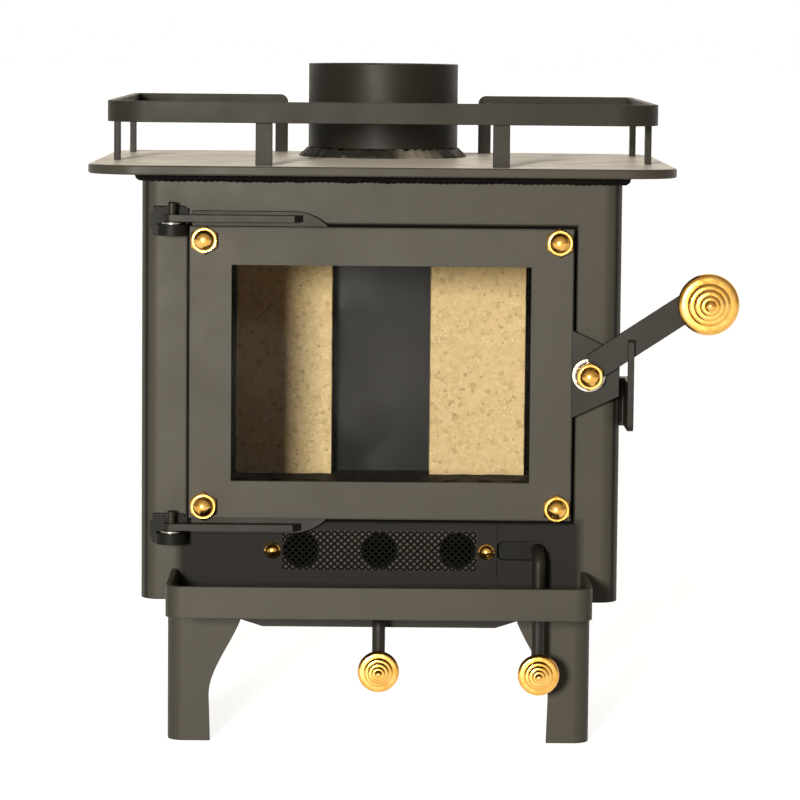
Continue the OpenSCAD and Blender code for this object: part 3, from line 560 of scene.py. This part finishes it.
def beehive_knob(node, hole):
    """A stepped knob of four beads and a button, turned from brass; its outline is in millimetres."""
    low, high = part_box(node)
    beads = ((14.6, 4.6, 2.9), (10.2, 8.7, 2.1), (7.6, 11.9, 2.0), (5.0, 14.9, 1.8))
    scale = (high.x - low.x) / (2 * beads[0][0])
    outline = [(hole / scale, 0.0), (5.7, 0.0)]
    outline += arc((5.7, 0.7), 0.7, -90, 0, 4)
    outline += arc((7.6, 1.2), 1.2, 180, 115, 4)
    for index, (outer, height, radius) in enumerate(beads):
        start = -38 if index else -92
        outline += arc((outer - radius, height), radius, start, 78, 16)
    outline += arc((0, 16.05), 2.95, 12, 88, 12)
    base = Vector(((low.x + high.x) / 2, high.y, (low.z + high.z) / 2))
    points, faces = lathe([(radius * scale, reach * scale) for radius, reach in outline], base)
    made = piece(node + "_brass", points, faces, node, 50)
    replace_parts(made, node)


def acorn_nut(base):
    """Points and faces of a domed nut: a chamfered hexagon, a narrow neck and a dome.

    Each row of the hexagon is cut to a circle, whose radius is a multiple of the hexagon's own apothem."""
    apothem = nut_flats / 2
    height = 4.5 * mm
    dome = 4.9 * mm
    bevel = 0.9 * mm
    bevel_steps = 5
    corner, crown = 1.155, 0.95
    foot = [(0.0, 0.94), (0.3 * mm, 1.02), (0.6 * mm, 2.0)]
    chamfer = []
    for step in range(bevel_steps + 1):
        share = step / bevel_steps
        chamfer.append((height - bevel * (1 - share), corner - (corner - crown) * share))
    angles = full_turn(72)
    from_flat = [(angle + math.pi / 6) % (math.pi / 3) - math.pi / 6 for angle in angles]
    rows = []
    for reach, circle in foot + chamfer:
        rows.append(([min(apothem / math.cos(angle), apothem * circle) for angle in from_flat], reach))
    cap = [(dome + 0.3 * mm, height - 0.05 * mm), (dome, height)]
    cap += arc((0, height + 0.1 * mm), dome, 2, 89, 12)
    rows += [([radius] * len(angles), reach) for radius, reach in cap]
    return rings(rows, base)


def round_nut(base):
    """Points and faces of a small round nut with a thin rim and a dome."""
    rim, edge, thick = screen_nut_rim, 0.3 * mm, 1.4 * mm
    outline = [(0.4 * mm, 0), (rim - edge, 0), (rim, edge), (rim, thick - edge), (rim - edge, thick)]
    outline += arc((0, thick), 3.2 * mm, 4, 89, 12)
    return lathe(outline, base, 48)


def brass_nuts():
    low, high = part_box("door_nuts")
    side = nut_flats / math.cos(math.pi / 6) / 2
    corners = [Vector((x, high.y, z)) for x in (low.x + side, high.x - side)
               for z in (low.z + nut_flats / 2, high.z - nut_flats / 2)]
    low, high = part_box("latch_pivot_nut")
    pivot = [Vector(((low.x + high.x) / 2, high.y, (low.z + high.z) / 2))]
    low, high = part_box("air_screen_nuts")
    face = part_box("air_cover_plate")[0].y
    ends = [Vector((x, face, (low.z + high.z) / 2))
            for x in (low.x + screen_nut_rim, high.x - screen_nut_rim)]
    for node, shape, bases, sharp in (("door_nuts", acorn_nut, corners, 30),
                                      ("latch_pivot_nut", acorn_nut, pivot, 30),
                                      ("air_screen_nuts", round_nut, ends, 40)):
        points, faces = join([shape(base) for base in bases])
        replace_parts(piece(node + "_brass", points, faces, node, sharp), node)


# ---------------------------------------------------------------- weld beads

def spaced(path, gap, closed):
    """Even steps along a polyline, as (place, way forward, run so far), and its whole length."""
    tiny = 1e-9
    corners = path + [path[0]] if closed else path
    lengths = [(b - a).length for a, b in zip(corners, corners[1:])]
    total = sum(lengths)
    count = max(3, round(total / gap))
    made = []
    for index in range(count if closed else count + 1):
        run = total * index / count
        left = run
        for a, b, length in zip(corners, corners[1:], lengths):
            if left <= length + tiny:
                made.append((a.lerp(b, left / length), (b - a).normalized(), run))
                break
            left -= length
    return made, total


def weld_bead(name, node, path, radius, pitch, up, seed=0.0, closed=False, look=None):
    """A run of overlapping weld ripples along a path; an open one tapers at its ends."""
    sides = 10
    rows, total = spaced(path, 0.4 * mm, closed)
    ripples = max(1, round(total / pitch))
    points = []
    for place, forward, run in rows:
        across = forward.cross(up).normalized()
        over = across.cross(forward).normalized()
        wave = abs(math.sin(math.pi * ripples * run / total))
        swell = noise.noise(place * 160 + Vector((seed, 0, 0)))
        size = radius * (0.86 + 0.16 * wave + 0.16 * swell)
        if not closed:
            size *= min(1, 0.35 + min(run, total - run) / (1.5 * radius))
        for angle in full_turn(sides):
            points.append(place + across * math.cos(angle) * size + over * math.sin(angle) * size)
    return piece(name, points, tube_faces(len(rows), sides, closed), node, look=look)


def lumpy_fillet(name, node, centre, inner):
    """A ring of weld that slopes from the collar down to the plate, in soft lumps.

    Its section is in millimetres, out from the collar and up from the plate."""
    section = ((-0.8, -0.4), (-0.8, 4.3), (0.2, 4.2), (1.3, 2.9), (2.6, 1.8), (3.7, 0.8), (4.0, -0.4))
    steps = 360
    points = []
    for angle in full_turn(steps):
        out = Vector((math.cos(angle), math.sin(angle), 0))
        for reach, height in section:
            at = centre + out * (inner + reach * mm)
            lump = noise.noise(at * 170) + 0.6 * noise.noise(at * 420)
            ripple = 0.12 * abs(math.sin(22 * angle + 2 * noise.noise(at * 60)))
            swell = (0.93 + 0.2 * lump + ripple) if height > 0 else 1.0
            spread = reach * min(swell, 1.1) * mm
            points.append(centre + out * (inner + spread) + Vector((0, 0, height * swell * mm)))
    return piece(name, points, tube_faces(steps, len(section), True), node, look=weld_look)


def rounded_corner(x, y, radius, start, z):
    """A quarter turn about (x, y), from start degrees on."""
    return [Vector((px, py, z)) for px, py in arc((x, y), radius, start, start + 90, 8)]


def top_seam():
    """The bead between plate and body, round the body's front corners and along its back.

    Its near-black screen paint is painted shade, for the shadow under the plate's overhang.
    """
    low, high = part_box("body_shell")
    bend = 9 * mm
    stand_off = 0.9 * mm
    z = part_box("top_plate")[0].z - 0.9 * mm
    path = [Vector((low.x - stand_off, high.y + stand_off, z))]
    path += rounded_corner(low.x + bend, low.y + bend, bend + stand_off, 180, z)
    path += rounded_corner(high.x - bend, low.y + bend, bend + stand_off, 270, z)
    path += [Vector((high.x + stand_off, high.y + stand_off, z))]
    # Near-black screen paint on the bead: painted shade under the plate's overhang.
    bead = weld_bead("top_seam_bead", "top_seam", path, 2.9 * mm, 3.1 * mm, Vector((0, 0, 1)),
                     closed=True, look=looks["mesh_steel"])
    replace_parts(bead, "top_seam")


def flue_foot():
    low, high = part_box("flue_collar")
    centre = Vector(((low.x + high.x) / 2, (low.y + high.y) / 2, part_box("top_plate")[1].z))
    ring = (high.x - low.x) / 2 + 0.6 * mm
    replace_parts(lumpy_fillet("flue_foot_fillet", "flue_foot", centre, ring), "flue_foot")


def back_seams():
    low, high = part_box("body_shell")
    back = Vector((0, 1, 0))
    for side, x in (("left", low.x + 4 * mm), ("right", high.x - 4 * mm)):
        path = [Vector((x, high.y, low.z + 3 * mm)), Vector((x, high.y, high.z - 5 * mm))]
        weld_bead(f"back_seam_{side}", "back_panel", path, 1.1 * mm, 2.2 * mm, back, x * 900)


def bracket_welds():
    front = Vector((0, -1, 0))
    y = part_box("body_shell")[0].y - 0.2 * mm
    for name in lug_nodes:
        low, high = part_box(name)
        for edge, z in (("top", high.z), ("foot", low.z)):
            path = [Vector((low.x + 1 * mm, y, z)), Vector((high.x - 1 * mm, y, z))]
            weld_bead(f"{name}_weld_{edge}", name, path, 1.0 * mm, 1.9 * mm, front, z * 500)


def keeper_welds():
    low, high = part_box("body_shell")
    outward = Vector((1, 0, 0))
    x = high.x + 0.2 * mm
    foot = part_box("latch_keeper")[0].z
    for edge, y in (("front", low.y + 11 * mm), ("rear", low.y + 21 * mm)):
        path = [Vector((x, y, foot + 1 * mm)), Vector((x, y, foot + 22 * mm))]
        weld_bead(f"latch_keeper_weld_{edge}", "latch_keeper", path, 1.2 * mm, 2.1 * mm, outward, y * 700)


# ---------------------------------------------------------------- screen, rope and bricks

def diamond_screen():
    """Expanded steel mesh: diamond openings whose strands lean, cut to the cover plate's window."""
    low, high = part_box("air_screen")
    columns, rows = 28, 6
    wide, tall = (high.x - low.x) / columns, (high.z - low.z) / rows
    open_share = 0.62
    thick = (high.y - low.y) * 0.45
    lean = (high.y - low.y) * 0.5
    corners = ((0, 0.5), (0.5, 0), (0, -0.5), (-0.5, 0))
    rims = ((1.0, 0), (open_share, 0), (open_share, thick), (1.0, thick))
    points, faces = [], []
    for row in range(2 * rows + 1):
        for column in range(columns + 1):
            x = low.x + (column + (0.5 if row % 2 else 0)) * wide
            z = low.z + row * tall / 2
            if x > high.x + wide / 2:
                continue
            loops = []
            for share, back in rims:
                loop = []
                for dx, dz in corners:
                    px = min(max(x + dx * wide * share, low.x), high.x)
                    pz = min(max(z + dz * tall * share, low.z), high.z)
                    y = low.y + back + lean * (0.5 - dz if share < 1 else 0.5)
                    loop.append(len(points))
                    points.append((px, y, pz))
                loops.append(loop)
            for a, b in zip(loops, loops[1:]):
                for i in range(4):
                    j = (i + 1) % 4
                    faces.append((a[i], b[i], b[j], a[j]))
    made = piece("air_screen_mesh", points, faces, "air_screen", 25)
    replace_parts(made, "air_screen")


def rope_gasket(node):
    """Braided rope laid in the door's groove: a round cord with crossing yarns."""
    low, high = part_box(node)
    middle = (low + high) / 2
    half_w, half_t = 1.7 * mm, (high.y - low.y) / 2
    x0, x1, z0, z1 = low.x + half_w, high.x - half_w, low.z + half_w, high.z - half_w
    bend = 5 * mm
    path = []
    for x, z, start in ((x1 - bend, z1 - bend, 0), (x0 + bend, z1 - bend, 90),
                        (x0 + bend, z0 + bend, 180), (x1 - bend, z0 + bend, 270)):
        path += [Vector((px, middle.y, pz)) for px, pz in arc((x, z), bend, start, start + 90, 8)]
    rows, total = spaced(path, 0.55 * mm, True)
    sides = 16
    turns = round(total / (6 * mm))
    points = []
    for place, forward, run in rows:
        across = forward.cross(Vector((0, 1, 0))).normalized()
        lay = 2 * math.pi * turns * run / total
        for angle in full_turn(sides):
            yarn = 0.5 * (abs(math.cos(1.5 * angle + lay / 2)) + abs(math.cos(1.5 * angle - lay / 2)))
            size = 0.82 + 0.18 * yarn
            points.append(place + across * half_w * size * math.cos(angle)
                          + Vector((0, half_t * size * math.sin(angle), 0)))
    made = piece(node + "_rope", points, tube_faces(len(rows), sides, True), node)
    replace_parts(made, node)


def board(node, step):
    """A pressed board: its faces wander slightly and its edges are worn and chipped."""
    edge_wear, chip, wander = 0.28 * mm, 0.9 * mm, 0.16 * mm
    low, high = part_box(node)
    size = high - low
    counts = [max(2, round(size[axis] / step)) for axis in range(3)]
    index, points, faces = {}, [], []

    def point(place):
        """The number of the point at a grid place, which is made the first time it is asked for."""
        if place not in index:
            at = Vector([low[axis] + size[axis] * place[axis] / counts[axis] for axis in range(3)])
            depth = [min(place[axis], counts[axis] - place[axis]) for axis in range(3)]
            near = sorted(range(3), key=lambda axis: depth[axis])
            wear = noise.noise(at * 120) * 0.5 + noise.noise(at * 420) * 0.5
            inward = Vector()
            for axis in near:
                if depth[axis] == 0:
                    inward[axis] = -1 if place[axis] else 1
            if depth[near[1]] == 0:
                at += inward * (edge_wear + chip * max(0, wear - 0.05))
            else:
                at += inward * wander * max(0, 0.4 + noise.noise(at * 300))
            index[place] = len(points)
            points.append(at)
        return index[place]

    for axis in range(3):
        u, v = (axis + 1) % 3, (axis + 2) % 3
        for end in (0, counts[axis]):
            for i in range(counts[u]):
                for j in range(counts[v]):
                    quad = []
                    for di, dj in ((0, 0), (1, 0), (1, 1), (0, 1)):
                        place = [0, 0, 0]
                        place[axis], place[u], place[v] = end, i + di, j + dj
                        quad.append(point(tuple(place)))
                    faces.append(tuple(quad if end else reversed(quad)))
    made = piece(node + "_board", points, faces, node, 40)
    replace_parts(made, node)


# ---------------------------------------------------------------- assembly

def build():
    screw_hole, rod_hole = 2.0 * mm, 3.1 * mm
    knobs = {"handle_knob": screw_hole, "air_knob": rod_hole, "primary_knob": rod_hole}
    bricks = ("brick_rear_left", "brick_rear_right", "brick_side_left", "brick_side_right")
    nuts = ("door_nuts", "latch_pivot_nut", "air_screen_nuts")
    dress_cad_nodes({*knobs, *bricks, *nuts, "baffle_plate", "top_seam", "flue_foot", "air_screen",
                     "door_gasket"})
    for node, hole in knobs.items():
        beehive_knob(node, hole)
    brass_nuts()
    top_seam()
    flue_foot()
    back_seams()
    bracket_welds()
    keeper_welds()
    diamond_screen()
    rope_gasket("door_gasket")
    for node in bricks:
        board(node, 2.6 * mm)
    board("baffle_plate", 4 * mm)


def set_stage():
    """A wide pale floor that sheds no soft light on the stove, and a lamp to the camera's left."""
    reach = 30
    corners = [(-reach, -reach, 0), (reach, -reach, 0), (reach, reach, 0), (-reach, reach, 0)]
    mesh = bpy.data.meshes.new("floor")
    mesh.from_pydata(corners, [], [(0, 1, 2, 3)])
    mesh.materials.append(pale_floor())
    floor = bpy.data.objects.new("floor", mesh)
    floor.visible_diffuse = False
    scene.collection.objects.link(floor)
    area_light("key", place=(-0.53, -2.6, 0.47), target=(0, 0, 0.18), size=(0.3, 0.3), power=83,
               color=(1, 0.95, 0.87))
    scene.view_settings.view_transform = "Standard"


set_camera()
set_world()
set_stage()
build()
